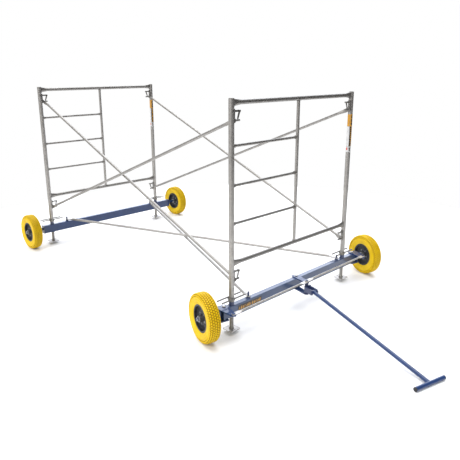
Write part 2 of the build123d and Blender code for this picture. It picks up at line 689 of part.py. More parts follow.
# ---- Tie rods from the steering arm's tip to the knuckles' tips ----
for side, sign in sides.items():
    outward = Vector(0, sign, 0)
    rod_z = rod_levels[side] + tie_tongue_thickness / 2
    inner = Vector(head_tip.X, head_tip.Y, rod_z)
    outer = inner + outward * (kingpin_spacing / 2)
    with BuildPart() as tie_rod:
        for tip, along, hole_radius in (
            (inner, outward, tie_pin_radius + running_gap),
            (outer, outward * -1, tie_pin_radius + open_pivot_gap),
        ):
            with BuildSketch(Plane(origin=tip - up * (tie_tongue_thickness / 2), x_dir=along, z_dir=up)):
                Circle(tie_tongue_width / 2)
                with Locations((tie_tongue_length / 2, 0)):
                    Rectangle(tie_tongue_length, tie_tongue_width)
                Circle(hole_radius, mode=Mode.SUBTRACT)
            extrude(amount=tie_tongue_thickness)
            with BuildSketch(Plane(origin=tip + along * tie_tongue_length, x_dir=up, z_dir=along)):
                RectangleRounded(tie_tongue_thickness, tie_tongue_width, tie_tongue_thickness / 2 - 0.1)
            round_start = tip + along * (tie_tongue_length + tie_taper_length)
            with BuildSketch(Plane(origin=round_start, x_dir=up, z_dir=along)):
                Circle(tie_rod_radius)
            loft()
            rod(round_start, (inner + outer) * 0.5, tie_rod_radius)
    tie_rod.part.label = f"{side}_tie_rod"
    export_step(tie_rod.part, f"parts/{side}_tie_rod.step")

# ---- Tow bar: a pivot sleeve and tube, and the T-handle across its end with two caps ----
bar_dir = (forward * tow_run - up * tow_drop).normalized()
handle_centre = tow_pivot + bar_dir * tow_length
sleeve_half = cheek_gap / 2 - tow_sleeve_gap
with BuildPart() as tow_tube:
    rod(tow_pivot - leftward * sleeve_half, tow_pivot + leftward * sleeve_half, tow_sleeve_radius)
    rod(tow_pivot, handle_centre, tow_tube_radius)
    rod(tow_pivot + bar_dir * (2 * tow_sleeve_radius), handle_centre, tow_tube_bore, Mode.SUBTRACT)
    rod(tow_pivot - leftward * sleeve_half, tow_pivot + leftward * sleeve_half,
        tow_pin_radius + running_gap, Mode.SUBTRACT)
    rod(handle_centre - leftward * (2 * handle_radius), handle_centre + leftward * (2 * handle_radius),
        handle_radius, Mode.SUBTRACT)
tow_tube.part.label = "tow_tube"
export_step(tow_tube.part, "parts/tow_tube.step")

grip_half = handle_length / 2 - handle_cap
with BuildPart() as t_handle:
    rod(handle_centre - leftward * grip_half, handle_centre + leftward * grip_half, handle_radius)
    rod(handle_centre - leftward * grip_half, handle_centre + leftward * grip_half,
        handle_bore, Mode.SUBTRACT)
t_handle.part.label = "t_handle"
export_step(t_handle.part, "parts/t_handle.step")

with BuildPart() as handle_end_caps:
    for sign in sides.values():
        face = handle_centre + leftward * (sign * grip_half)
        rod(face, face + leftward * (sign * handle_cap), handle_radius)
handle_end_caps.part.label = "handle_end_caps"
export_step(handle_end_caps.part, "parts/handle_end_caps.step")
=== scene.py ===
"""Looks of a towable frame scaffold section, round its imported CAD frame. Metres, +Z up, +X the towing way."""
import json
from math import copysign, cos, pi, radians, sin, tau

import bmesh
import bpy
from mathutils import Matrix, Vector


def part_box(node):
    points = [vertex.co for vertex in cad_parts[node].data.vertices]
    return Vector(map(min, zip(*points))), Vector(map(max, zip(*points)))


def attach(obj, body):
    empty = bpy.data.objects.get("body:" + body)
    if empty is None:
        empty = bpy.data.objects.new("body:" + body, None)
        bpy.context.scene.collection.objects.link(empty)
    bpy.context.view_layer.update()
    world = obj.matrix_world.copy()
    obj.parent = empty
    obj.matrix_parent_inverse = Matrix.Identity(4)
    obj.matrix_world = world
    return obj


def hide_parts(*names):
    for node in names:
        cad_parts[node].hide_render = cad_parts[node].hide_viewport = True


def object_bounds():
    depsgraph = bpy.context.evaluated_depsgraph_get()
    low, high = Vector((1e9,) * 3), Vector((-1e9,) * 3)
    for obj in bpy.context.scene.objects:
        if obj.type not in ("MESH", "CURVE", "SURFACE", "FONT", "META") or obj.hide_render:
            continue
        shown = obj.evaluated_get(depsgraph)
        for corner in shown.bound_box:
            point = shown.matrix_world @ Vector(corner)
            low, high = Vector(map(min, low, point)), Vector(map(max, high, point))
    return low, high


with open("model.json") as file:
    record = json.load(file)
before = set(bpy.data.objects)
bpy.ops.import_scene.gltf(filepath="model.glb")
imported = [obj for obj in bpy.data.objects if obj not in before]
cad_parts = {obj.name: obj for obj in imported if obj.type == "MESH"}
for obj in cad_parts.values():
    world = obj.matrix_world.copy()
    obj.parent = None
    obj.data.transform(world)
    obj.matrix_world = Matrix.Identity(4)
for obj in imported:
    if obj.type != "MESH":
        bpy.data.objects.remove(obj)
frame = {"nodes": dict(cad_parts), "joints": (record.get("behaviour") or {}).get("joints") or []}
cad_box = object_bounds()

ENDS = ("front", "rear")
SIDES = {"right": -1, "left": 1}
LEVELS = ("upper", "lower")
UP = Vector((0, 0, 1))
joints = {joint["name"]: joint for joint in frame["joints"]}

# ---- Sizes (metres) ----
SHARP_ANGLE = radians(38)
# Tyres
TREAD_ROWS = 7
LUGS_ROUND = 60
LUG_DEPTH = 0.0070
LUG_GAP, LUG_SLOPE = 0.085, 0.065   # half a groove between lugs and the slope beside it, in lug pitches
ROW_GAP, ROW_SLOPE = 0.08, 0.09     # the same between rows, in row widths
TREAD_SQUARENESS = 0.55             # exponent of the tread's curve; smaller is squarer at the shoulders
SHOULDER_DROP = 0.0270              # from the tread's middle down to where the lugs end on each side
SIDE_MARGIN = 0.0017                # keeps the lugs' ends inside the tyre's width
RIM_SEAT = 0.110                    # radius where the tyre's side meets the rim's flange
GROOVE = "groove_depth"             # how deep each point of a tyre lies between its lugs, from 0 to 1
# Rims, hubs and bolts; a bolt head is its width across corners and its height
RIM_SPOKES = 5
RIM_PRESSING = 0.005
SPOKE_START, SPOKE_END = 0.034, 0.088
SPOKE_REACH = 0.022                 # a disc's points lie within this of the wheel's middle
WHEEL_BOLTS = 5
BOLT_CIRCLE = 0.046
BOLT_SEAT = 0.0150                  # from the wheel's middle to the rim's disc under a bolt
WHEEL_BOLT = (0.0150, 0.0080)
KINGPIN_BOLT = (0.0250, 0.0080)
KINGPIN_RADIUS = 0.0099
AXLE_NUT = (0.0320, 0.0135)
AXLE_NUT_SEAT = 0.0504              # from the wheel's middle out to the nut
# Jacks
SCREW_RADIUS = 0.0170
THREAD_PITCH = 0.008
THREAD_DEPTH = 0.0021
THREAD_FLAT = 0.30                  # a crest's and a flank's share of half the pitch
PLATE_THICKNESS = 0.006
PLATE_CORNER = 0.012
NAIL_HOLE = 0.005
NAIL_SPACING = 0.076
# Frames and welds
BAR_MIDDLE = 0.029                  # from a cross bar's flared edge to its middle
BAR_END = (0.0275, 0.0112)          # half height and half width of a bar's flattened end
BAR_SQUARENESS = 0.62
BAR_RADIUS = 0.0169
RUNG_RADIUS = 0.0140
STILE_RADIUS = 0.0135
BEAD_SIDES = 6
BEAD_RADIUS = 0.0032
STILE_SIDE_BEAD = 0.0022
STILE_END_BEAD = 0.0023
STUD_BEAD = 0.0026
LOCK_BEAD = 0.0016
BEAD_LIFT = 0.0008                  # a bead's middle lies this far off the face it is laid on
PLATE_BEAD_LIFT = 0.0012
SADDLE_LIFT = 0.0006
STILE_LIFT = 0.001
RUNG_WRAP = 0.93                    # share of a rung's radius, which keeps its bead on the thinner stile
SLEEVE_WELD_RADIUS = 0.0216
STUD_WELD_RADIUS = 0.0156
LOCK_PLATE_DROP = 0.0405            # from a lever's top down to its lock plate's middle
LOCK_PLATE_HALF = 0.046
LOCK_WELD_PLACE = (0.0127, 0.0178)  # from the leg's middle, across and inwards
# Stickers and paint
STICKER = 0.0004
STICKER_GAP = 0.00005
MARK_GAP, MARK_HEIGHT = 0.00003, 0.00025    # where a mark starts and ends above its film
LABEL_TOP = 0.200                   # below the leg's top
LABEL_BANDS = (0.107, 0.288, 0.342)     # where orange, dark and white end, below the label's top
BEAM_LABEL = (0.048, 0.320)         # its two ends, from the right leg's middle
BEAM_LABEL_MARGINS = (0.026, 0.016)     # from the beam's lower and upper edges
HEAD_START = 0.134                  # the tow head's navy paint starts this far ahead of the steering pivot
HEAD_EDGE = 0.002                   # over which the paint changes


def middle(name):
    """Centre of a CAD node's box."""
    low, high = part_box(name)
    return (low + high) / 2


def tube_radius(name):
    """Radius of an upright tube, from its CAD node's box."""
    low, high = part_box(name)
    return (high.x - low.x) / 2


def wheel_axle(end, side):
    """A wheel's middle, and the way its axle points outwards."""
    spin = joints[f"{end}_{side}_wheel_spin"]
    axis = Vector(spin["axis"])
    return Vector(spin["pos_m"]), axis if axis.y * SIDES[side] > 0 else -axis


def squared(value, squareness):
    """A sine or cosine brought nearer to 1 or -1, so that the curve it draws is squarer."""
    return copysign(abs(value) ** squareness, value)


# ---- Materials ----
def shader(name, base, metallic=0.0, roughness=0.5, **values):
    """Start a Principled material; the values given here are the same all over its surface."""
    material = bpy.data.materials.new(name)
    material.use_nodes = True
    principled = material.node_tree.nodes["Principled BSDF"]
    principled.inputs["Base Color"].default_value = (*base, 1)
    principled.inputs["Metallic"].default_value = metallic
    principled.inputs["Roughness"].default_value = roughness
    for socket, value in values.items():
        principled.inputs[socket.replace("_", " ")].default_value = value
    return material, material.node_tree, principled


def node(tree, kind, values=None, **settings):
    """Add one shader node, with its settings and its sockets' values."""
    made = tree.nodes.new(kind)
    for setting, value in settings.items():
        setattr(made, setting, value)
    for socket, value in (values or {}).items():
        made.inputs[socket].default_value = value
    return made


def place_in(tree, stretch=(1, 1, 1)):
    """Return the surface's own coordinates, stretched."""
    coordinates = node(tree, "ShaderNodeTexCoord")
    mapping = node(tree, "ShaderNodeMapping", {"Scale": stretch})
    tree.links.new(coordinates.outputs["Object"], mapping.inputs["Vector"])
    return mapping.outputs["Vector"]


def noise(tree, scale, detail=3.0, stretch=(1, 1, 1), roughness=0.55):
    """Return a soft noise over the surface."""
    made = node(tree, "ShaderNodeTexNoise", {"Scale": scale, "Detail": detail, "Roughness": roughness})
    tree.links.new(place_in(tree, stretch), made.inputs["Vector"])
    return made.outputs["Fac"]


def cells(tree, scale, output="Color"):
    """Return a crystal pattern over the surface."""
    made = node(tree, "ShaderNodeTexVoronoi", {"Scale": scale}, feature="F1")
    tree.links.new(place_in(tree), made.inputs["Vector"])
    return made.outputs[output]


def ramp(tree, factor, stops):
    """Map a factor to colours at the given places."""
    made = node(tree, "ShaderNodeValToRGB")
    band = made.color_ramp
    while len(band.elements) < len(stops):
        band.elements.new(0.5)
    for element, (position, colour) in zip(band.elements, stops):
        element.position = position
        element.color = (*colour, 1)
    tree.links.new(factor, made.inputs["Fac"])
    return made.outputs["Color"]


def spread(tree, factor, low, high, start=0.0, end=1.0):
    """Map a factor from start..end to low..high."""
    limits = {"From Min": start, "From Max": end, "To Min": low, "To Max": high}
    made = node(tree, "ShaderNodeMapRange", limits)
    tree.links.new(factor, made.inputs["Value"])
    return made.outputs["Result"]


def mix(tree, factor, first, second, blend_type="MIX"):
    """Blend two colours; each is a socket or a plain colour."""
    made = node(tree, "ShaderNodeMix", data_type="RGBA", blend_type=blend_type)
    for socket, value in ((0, factor), (6, first), (7, second)):
        if isinstance(value, bpy.types.NodeSocket):
            tree.links.new(value, made.inputs[socket])
        elif socket == 0:
            made.inputs[0].default_value = value
        else:
            made.inputs[socket].default_value = (*value, 1)
    return made.outputs[2]


def bump(tree, principled, height, distance):
    """Raise the surface by a height pattern; a second call adds to the first."""
    made = node(tree, "ShaderNodeBump", {"Distance": distance, "Strength": 1.0})
    tree.links.new(height, made.inputs["Height"])
    before = principled.inputs["Normal"].links
    if before:
        tree.links.new(before[0].from_socket, made.inputs["Normal"])
    tree.links.new(made.outputs["Normal"], principled.inputs["Normal"])


def paint_underside_shade(tree, colour, underside_shade_colour):
    """Paint shade on the faces that look down: the colour turns to the given dark colour as a face turns
    downwards.
    """
    facing = node(tree, "ShaderNodeNewGeometry")
    split = node(tree, "ShaderNodeSeparateXYZ")
    tree.links.new(facing.outputs["Normal"], split.inputs["Vector"])
    return mix(tree, spread(tree, split.outputs["Z"], 1.0, 0.0, -0.55, 0.05), colour, underside_shade_colour)


def galvanised(name, tone):
    """Hot-dip zinc: faint crystals, dull patches and long drips; tone is how light it is, and a lower tone
    paints shade over a whole part.
    """
    material, tree, principled = shader(name, (tone, tone, tone), 0.8, 0.38)
    crystals = ramp(tree, cells(tree, 85), [(0.15, (tone * 0.91, tone * 0.875, tone * 0.825)),
                                            (0.85, (tone * 1.10, tone * 1.055, tone * 1.0))])
    dull = ramp(tree, noise(tree, 9, 4), [(0.42, (1, 1, 1)), (0.72, (0.86, 0.86, 0.86))])
    streaks = ramp(tree, noise(tree, 34, 2, (1, 1, 0.12)), [(0.5, (1, 1, 1)), (0.8, (0.86, 0.86, 0.87))])
    colour = mix(tree, 1.0, mix(tree, 1.0, crystals, dull, "MULTIPLY"), streaks, "MULTIPLY")
    tree.links.new(colour, principled.inputs["Base Color"])
    tree.links.new(spread(tree, noise(tree, 60, 4), 0.30, 0.56), principled.inputs["Roughness"])
    bump(tree, principled, noise(tree, 260, 3), 0.00012)
    bump(tree, principled, cells(tree, 85, "Distance"), 0.00008)
    return material


def bright_zinc():
    """Electroplated zinc on small parts, with a warm cast, handling scuffs and painted shade on the faces that
    look down.
    """
    material, tree, principled = shader("bright_zinc", (0.6, 0.58, 0.54), 0.85, 0.3)
    cast = ramp(tree, noise(tree, 40, 3), [(0.35, (0.46, 0.44, 0.40)), (0.7, (0.64, 0.62, 0.59))])
    scuffs = ramp(tree, noise(tree, 300, 2, (1, 0.2, 1)), [(0.55, (1, 1, 1)), (0.75, (0.72, 0.70, 0.67))])
    # Painted shade: faces that look down turn dark brown, standing in for the dark reflection under rods and
    # bolts.
    shaded_below = paint_underside_shade(tree, mix(tree, 1.0, cast, scuffs, "MULTIPLY"), (0.09, 0.078, 0.060))
    tree.links.new(shaded_below, principled.inputs["Base Color"])
    tree.links.new(spread(tree, noise(tree, 120, 3), 0.22, 0.46), principled.inputs["Roughness"])
    bump(tree, principled, noise(tree, 500, 2), 0.00006)
    return material


def cast_zinc():
    """Dull plated castings and pressings of the locks and jack nuts, darker in their pores."""
    material, tree, principled = shader("dull_zinc", (0.3, 0.29, 0.27), 0.75, 0.42)
    cast = ramp(tree, noise(tree, 55, 4), [(0.35, (0.17, 0.165, 0.155)), (0.72, (0.33, 0.32, 0.30))])
    tree.links.new(cast, principled.inputs["Base Color"])
    tree.links.new(spread(tree, noise(tree, 150, 3), 0.32, 0.55), principled.inputs["Roughness"])
    bump(tree, principled, noise(tree, 420, 3), 0.0001)
    return material


def blue_paint(name="blue_powder_coat", dust=(0.0, 0.0, 0.0)):
    """Satin powder coat: slight orange peel, some dust, and thin scratches down to primer."""
    material, tree, principled = shader(name, (0.04, 0.065, 0.2), 0.0, 0.34, Coat_Weight=0.75,
                                        Coat_Roughness=0.12, Coat_IOR=1.5, Specular_IOR_Level=0.2)
    tone = ramp(tree, noise(tree, 5, 4), [(0.3, (0.010, 0.031, 0.108)), (0.75, (0.018, 0.047, 0.150))])
    tone = mix(tree, 1.0, tone, dust, "ADD")
    scratches = ramp(tree, noise(tree, 70, 5, (6, 0.35, 3), 0.7), [(0.70, (0, 0, 0)), (0.735, (1, 1, 1))])
    tree.links.new(mix(tree, scratches, tone, (0.15, 0.20, 0.36)), principled.inputs["Base Color"])
    tree.links.new(spread(tree, noise(tree, 30, 3), 0.26, 0.44), principled.inputs["Roughness"])
    bump(tree, principled, noise(tree, 650, 2), 0.00009)
    return material


def two_tone_paint():
    """Blue plates that turn to navy from the tow head on, split by distance along the steered heading."""
    material = blue_paint("blue_and_navy_coat")
    tree = material.node_tree
    principled = tree.nodes["Principled BSDF"]
    pivot = Vector(joints["steering"]["pos_m"])
    heading = Vector(joints["tow_bar_lift"]["pos_m"]) - pivot
    heading.z = 0
    heading.normalize()
    edge = heading.dot(pivot) + HEAD_START
    coordinates = node(tree, "ShaderNodeTexCoord")
    along = node(tree, "ShaderNodeVectorMath", operation="DOT_PRODUCT")
    along.inputs[1].default_value = heading
    tree.links.new(coordinates.outputs["Object"], along.inputs[0])
    head = spread(tree, along.outputs["Value"], 0.0, 1.0, edge, edge + HEAD_EDGE)
    blue = principled.inputs["Base Color"].links[0].from_socket
    tree.links.new(mix(tree, head, blue, (0.022, 0.034, 0.10)), principled.inputs["Base Color"])
    return material


def navy_paint():
    """Dark enamel on castings, a little lighter where it has rubbed."""
    material, tree, principled = shader("navy_enamel", (0.03, 0.045, 0.12), 0.0, 0.3, Coat_Weight=0.4,
                                        Coat_Roughness=0.15)
    tone = ramp(tree, noise(tree, 45, 4), [(0.35, (0.018, 0.028, 0.085)), (0.75, (0.045, 0.065, 0.16))])
    tree.links.new(tone, principled.inputs["Base Color"])
    tree.links.new(spread(tree, noise(tree, 80, 3), 0.24, 0.46), principled.inputs["Roughness"])
    bump(tree, principled, noise(tree, 420, 4), 0.00015)
    return material


def tyre_foam():
    """Yellow foam tyre: fine skin grain and random grime, with painted shade in the grooves and a painted
    highlight that lightens the lug tops and sides a little.
    """
    material, tree, principled = shader("yellow_tyre_foam", (0.8, 0.5, 0.01), 0.0, 0.55,
                                        Specular_IOR_Level=0.3)
    tone = ramp(tree, noise(tree, 14, 4), [(0.3, (0.61, 0.385, 0.002)), (0.7, (0.73, 0.48, 0.004))])
    grime = ramp(tree, noise(tree, 190, 4), [(0.60, (1, 1, 1)), (0.82, (0.80, 0.70, 0.5))])
    worn = mix(tree, 1.0, tone, grime, "MULTIPLY")
    depth = node(tree, "ShaderNodeAttribute", attribute_name=GROOVE)
    # Painted shade and highlight: the deeper a point lies between the lugs, the darker it is; points on the
    # lugs and sides are lightened.
    groove_shade_and_lug_highlight = ramp(tree, depth.outputs["Fac"], [(0.25, (1.08, 1.12, 1.1)), (0.95, (0.44, 0.34, 0.14))])
    tree.links.new(mix(tree, 1.0, worn, groove_shade_and_lug_highlight, "MULTIPLY"), principled.inputs["Base Color"])
    tree.links.new(spread(tree, noise(tree, 260, 3), 0.44, 0.66), principled.inputs["Roughness"])
    bump(tree, principled, noise(tree, 700, 3), 0.00018)
    return material


def black_rim():
    """Black stove enamel over pressed steel, dusty in its hollows."""
    material, tree, principled = shader("black_stove_enamel", (0.02, 0.02, 0.024), 0.0, 0.42,
                                        Specular_IOR_Level=0.35)
    tone = ramp(tree, noise(tree, 28, 4), [(0.4, (0.010, 0.011, 0.015)), (0.78, (0.040, 0.041, 0.048))])
    tree.links.new(tone, principled.inputs["Base Color"])
    tree.links.new(spread(tree, noise(tree, 110, 3), 0.26, 0.52), principled.inputs["Roughness"])
    bump(tree, principled, noise(tree, 380, 3), 0.0001)
    return material


def dark_steel():
    """Oiled steel of the hubs and wheel bolts."""
    material, tree, principled = shader("oiled_steel", (0.25, 0.25, 0.26), 0.9, 0.35)
    tone = ramp(tree, noise(tree, 90, 4), [(0.35, (0.16, 0.16, 0.17)), (0.7, (0.34, 0.34, 0.35))])
    tree.links.new(tone, principled.inputs["Base Color"])
    tree.links.new(spread(tree, noise(tree, 200, 3), 0.25, 0.5), principled.inputs["Roughness"])
    bump(tree, principled, noise(tree, 600, 2), 0.00006)
    return material


def weld_metal():
    """Weld beads: duller than the zinc round them, with heat tint."""
    material, tree, principled = shader("weld_metal", (0.45, 0.45, 0.46), 0.7, 0.5)
    tint = ramp(tree, noise(tree, 120, 3), [(0.35, (0.17, 0.16, 0.15)), (0.7, (0.30, 0.29, 0.28))])
    tree.links.new(tint, principled.inputs["Base Color"])
    bump(tree, principled, noise(tree, 900, 3), 0.0001)
    return material


def black_plastic():
    """Moulded black plastic with a fine spark-eroded grain."""
    material, tree, principled = shader("black_moulding", (0.02, 0.02, 0.022), 0.0, 0.55)
    tone = ramp(tree, noise(tree, 60, 3), [(0.4, (0.015, 0.015, 0.017)), (0.75, (0.038, 0.038, 0.04))])
    tree.links.new(tone, principled.inputs["Base Color"])
    tree.links.new(spread(tree, noise(tree, 300, 2), 0.45, 0.68), principled.inputs["Roughness"])
    bump(tree, principled, noise(tree, 1400, 2), 0.00012)
    return material


def printed_film(name, first, second):
    """Printed sticker film, a little faded and scuffed."""
    material, tree, principled = shader(name, first, 0.0, 0.38, Coat_Weight=0.2)
    tone = ramp(tree, noise(tree, 25, 3), [(0.35, first), (0.75, second)])
    tree.links.new(tone, principled.inputs["Base Color"])
    tree.links.new(spread(tree, noise(tree, 140, 3), 0.3, 0.52), principled.inputs["Roughness"])
    bump(tree, principled, noise(tree, 350, 2), 0.00004)
    return material


ZINC = galvanised("galvanised_steel", 0.41)
# Painted shade: a darker copy of the zinc on the cross bars and rungs, standing in for the dark reflections on
# them.
SHADED_ZINC = galvanised("shaded_galvanised_steel", 0.29)
# Painted shade: a slightly darker copy of the zinc on the braces, matched to their shaded edges.
BRACE_ZINC = galvanised("brace_shaded_zinc", 0.35)
DULL = cast_zinc()
BRIGHT = bright_zinc()
BLUE = blue_paint()
TWO_TONE = two_tone_paint()
DUSTY_BLUE = blue_paint("dusty_blue_coat", (0.038, 0.042, 0.036))
NAVY = navy_paint()
FOAM = tyre_foam()
RIM_BLACK = black_rim()
STEEL = dark_steel()
WELD = weld_metal()
PLASTIC = black_plastic()
ORANGE_FILM = printed_film("orange_film", (0.56, 0.26, 0.018), (0.65, 0.33, 0.025))
DARK_FILM = printed_film("dark_film", (0.022, 0.018, 0.014), (0.05, 0.042, 0.03))
WHITE_FILM = printed_film("white_film", (0.60, 0.60, 0.60), (0.68, 0.68, 0.68))
RED_FILM = printed_film("red_film", (0.6, 0.04, 0.02), (0.7, 0.07, 0.03))


# ---- Mesh helpers ----
def finish_piece(name, builder, material, body, stands_for=()):
    """Turn a bmesh into a named piece that rides on a body."""
    bmesh.ops.recalc_face_normals(builder, faces=builder.faces)
    mesh = bpy.data.meshes.new(name)
    builder.to_mesh(mesh)
    builder.free()
    mesh.shade_smooth()
    mesh.set_sharp_from_angle(angle=SHARP_ANGLE)
    mesh.materials.append(material)
    piece = bpy.data.objects.new(name, mesh)
    bpy.context.scene.collection.objects.link(piece)
    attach(piece, body)
    if stands_for:
        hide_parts(*stands_for)
    return piece


def axle_place(centre, axis):
    """Matrix whose x runs along the axis from the centre, with z as near upright as it can be."""
    along = axis.normalized()
    reference = UP if abs(along.z) < 0.9 else Vector((1, 0, 0))
    across = reference.cross(along).normalized()
    return Matrix.Translation(centre) @ Matrix((along, across, along.cross(across))).transposed().to_4x4()


def join_rings(builder, rings, joins=None):
    """Bridge each ring of points to the next; joins is how many of a ring's sides to bridge, if not all."""
    for here, ahead in zip(rings, rings[1:]):
        for index in range(joins or len(here)):
            after = (index + 1) % len(here)
            builder.faces.new((here[index], here[after], ahead[after], ahead[index]))


def revolve(builder, profile, place, angles, shape=None, ring=True):
    """Turn (along, radius) points about place's x axis.

    shape may move each point; ring closes the profile, or else the two ends are filled with flat faces.
    """
    rings = []
    for angle in angles:
        moved = [shape(along, radius, angle) if shape else (along, radius) for along, radius in profile]
        rings.append([builder.verts.new(place @ Vector((along, radius * sin(angle), radius * cos(angle))))
                      for along, radius in moved])
    join_rings(builder, rings + rings[:1], len(profile) if ring else len(profile) - 1)
    if not ring:
        builder.faces.new([section[0] for section in rings])
        builder.faces.new([section[-1] for section in rings][::-1])


def even_angles(count):
    """Equally spaced angles for a full turn."""
    return [tau * step / count for step in range(count)]


def flat_ring(centre, radius, count):
    """Points of a level circle."""
    return [centre + Vector((cos(turn), sin(turn), 0)) * radius for turn in even_angles(count)]


def hexagon_head(builder, place, across_corners, height, washer=1.25):
    """A hexagon head with a chamfered top on a round washer, standing along place's x axis."""
    radius = across_corners / 2
    thin = height * 0.18
    revolve(builder, [(0, radius * washer), (thin, radius * washer)], place, even_angles(24), ring=False)
    chamfer = height * 0.16
    revolve(builder, [(thin * 1.02, radius), (height - chamfer, radius), (height, radius * 0.86)], place,
            even_angles(6), ring=False)


def bead(builder, path, radius=BEAD_RADIUS):
    """Lay a weld bead, a ring of overlapping ripples, along a closed path."""
    count = len(path)
    centre = sum(path, Vector()) / count
    rings = []
    for index, point in enumerate(path):
        ahead = (path[(index + 1) % count] - path[index - 1]).normalized()
        outward = point - centre
        outward = (outward - ahead * outward.dot(ahead)).normalized()
        other = ahead.cross(outward)
        ripple = radius * (0.82 + 0.30 * abs(sin(index * pi / 3)))
        rings.append([builder.verts.new(point + (outward * cos(turn) + other * sin(turn)) * ripple)
                      for turn in even_angles(BEAD_SIDES)])
    join_rings(builder, rings + rings[:1])


def curved_plate(builder, centre, radii, angles, heights, steps=10):
    """A piece of tube wall: between two radii, two angles and two heights."""
    (inner, outer), (bottom, top) = radii, heights
    rings = []
    for step in range(steps + 1):
        angle = angles[0] + (angles[1] - angles[0]) * step / steps
        rings.append([builder.verts.new((centre.x + radius * cos(angle), centre.y + radius * sin(angle), z))
                      for radius, z in ((inner, bottom), (outer, bottom), (outer, top), (inner, top))])
    join_rings(builder, rings)
    builder.faces.new(rings[0][::-1])
    builder.faces.new(rings[-1])


def block(builder, low, high):
    """A plain box between two corners, for thin printed marks."""
    corners = [builder.verts.new((x, y, z)) for x in (low.x, high.x) for y in (low.y, high.y)
               for z in (low.z, high.z)]
    for face in ((0, 1, 3, 2), (4, 6, 7, 5), (0, 4, 5, 1), (2, 3, 7, 6), (0, 2, 6, 4), (1, 5, 7, 3)):
        builder.faces.new([corners[index] for index in face])


# ---- CAD nodes that stay, with their finishes ----
def finish_cad_nodes():
    """Give each CAD node that shows its real finish."""
    finishes = {
        ZINC: ("_leg", "_stile"),
        BRACE_ZINC: ("_brace_1", "_brace_2"),
        SHADED_ZINC: ("_cross_bars", "_rungs"),
        DULL: ("lock_brackets", "_lever", "_jack_nut"),
        BRIGHT: ("brace_rivets", "_tie_rod"),
        DUSTY_BLUE: ("front_beam",),
        BLUE: ("rear_beam", "rear_axles", "_knuckle", "tow_tube", "t_handle"),
        TWO_TONE: ("steering_arm",),
        NAVY: ("leg_collars", "coupling_studs", "_toggle"),
        PLASTIC: ("handle_end_caps",),
    }
    for name, shown in frame["nodes"].items():
        for material, endings in finishes.items():
            if name.endswith(endings):
                for material_slot in shown.material_slots:
                    material_slot.material = material


# ---- Tyres ----
def tread_angles():
    """Angles with points at both edges of every lug, in rows that are staggered by half a lug."""
    foot = LUG_GAP + LUG_SLOPE
    edges = (0.0, LUG_GAP, foot, 0.5 - foot, 0.5 - LUG_GAP)
    return [tau * (lug + half + edge) / LUGS_ROUND
            for lug in range(LUGS_ROUND) for half in (0, 0.5) for edge in edges]


def groove(share, half_width, slope):
    """1 in a groove at share 0 or 1, falling to 0 over the slope beside it."""
    away = min(share, 1 - share)
    return min(1.0, max(0.0, (half_width + slope - away) / slope))


def tread_depth(share, angle):
    """How deep a point across the tread (0 to 1) lies between the lugs, from 0 on a lug to 1 in a groove."""
    rounding = 1e-6
    row = min(int(share * TREAD_ROWS + rounding), TREAD_ROWS - 1)
    turn = (angle / tau * LUGS_ROUND + 0.5 * (row % 2)) % 1.0
    return max(groove(turn, LUG_GAP, LUG_SLOPE), groove(share * TREAD_ROWS - row, ROW_GAP, ROW_SLOPE))


def tread_curve(outer, half_width, steps=400):
    """Points over the rounded tread from one side to the other, and each one's share of the way."""
    reach = half_width - SIDE_MARGIN
    points = []
    for step in range(steps + 1):
        turn = pi * step / steps - pi / 2
        points.append((reach * squared(sin(turn), TREAD_SQUARENESS),
                       outer - SHOULDER_DROP * (1 - squared(cos(turn), TREAD_SQUARENESS))))
    lengths = [0.0]
    for here, ahead in zip(points, points[1:]):
        lengths.append(lengths[-1] + ((ahead[0] - here[0]) ** 2 + (ahead[1] - here[1]) ** 2) ** 0.5)
    return points, [length / lengths[-1] for length in lengths]


def tread_places(outer, half_width):
    """The tread's points at the edges of each row, each with its share across and its outward direction."""
    points, shares = tread_curve(outer, half_width)
    foot = ROW_GAP + ROW_SLOPE
    row_edges = (0.0, ROW_GAP, foot, 0.5, 1 - foot, 1 - ROW_GAP)
    wanted = [(row + edge) / TREAD_ROWS for row in range(TREAD_ROWS) for edge in row_edges] + [1.0]
    places = {}
    for share in wanted:
        index = min(range(1, len(points) - 1), key=lambda place: abs(shares[place] - share))
        along = points[index + 1][0] - points[index - 1][0]
        rise = points[index + 1][1] - points[index - 1][1]
        length = (along**2 + rise**2) ** 0.5
        places[points[index]] = (share, (-rise / length, along / length))
    return places


def sidewall(outer, half_width):
    """One side of the tyre's section: (along, radius) from the lugs' end in to the rim, past two rings."""
    foot = outer - SHOULDER_DROP
    return [
        (half_width - 0.0006, foot - 0.0040), (half_width - 0.0002, foot - 0.0100),
        # The outer ring, a groove
        (half_width - 0.0004, 0.1560), (half_width - 0.0030, 0.1540),
        (half_width - 0.0030, 0.1512), (half_width - 0.0008, 0.1496),
        # The inner ring, a step
        (half_width - 0.0012, 0.1440), (half_width - 0.0018, 0.1362), (half_width - 0.0020, 0.1358),
        (half_width - 0.0040, 0.1300), (half_width - 0.0018, 0.1280),
        # In to the rim's flange and along the rim
        (half_width - 0.0036, 0.1220), (half_width - 0.0080, RIM_SEAT + 0.0045),
        (0.0375, RIM_SEAT + 0.0006), (0.0340, RIM_SEAT),
        (0.0338, 0.1004),
    ]


def mark_grooves(piece, angles, shares, section_size):
    """Store how deep each point lies below the lugs, from which the foam paints shade in the grooves and a
    highlight on the lugs.
    """
    depths = piece.data.attributes.new(GROOVE, "FLOAT", "POINT")
    for ring, angle in enumerate(angles):
        for index, share in enumerate(shares):
            depths.data[ring * section_size + index].value = tread_depth(share, angle)


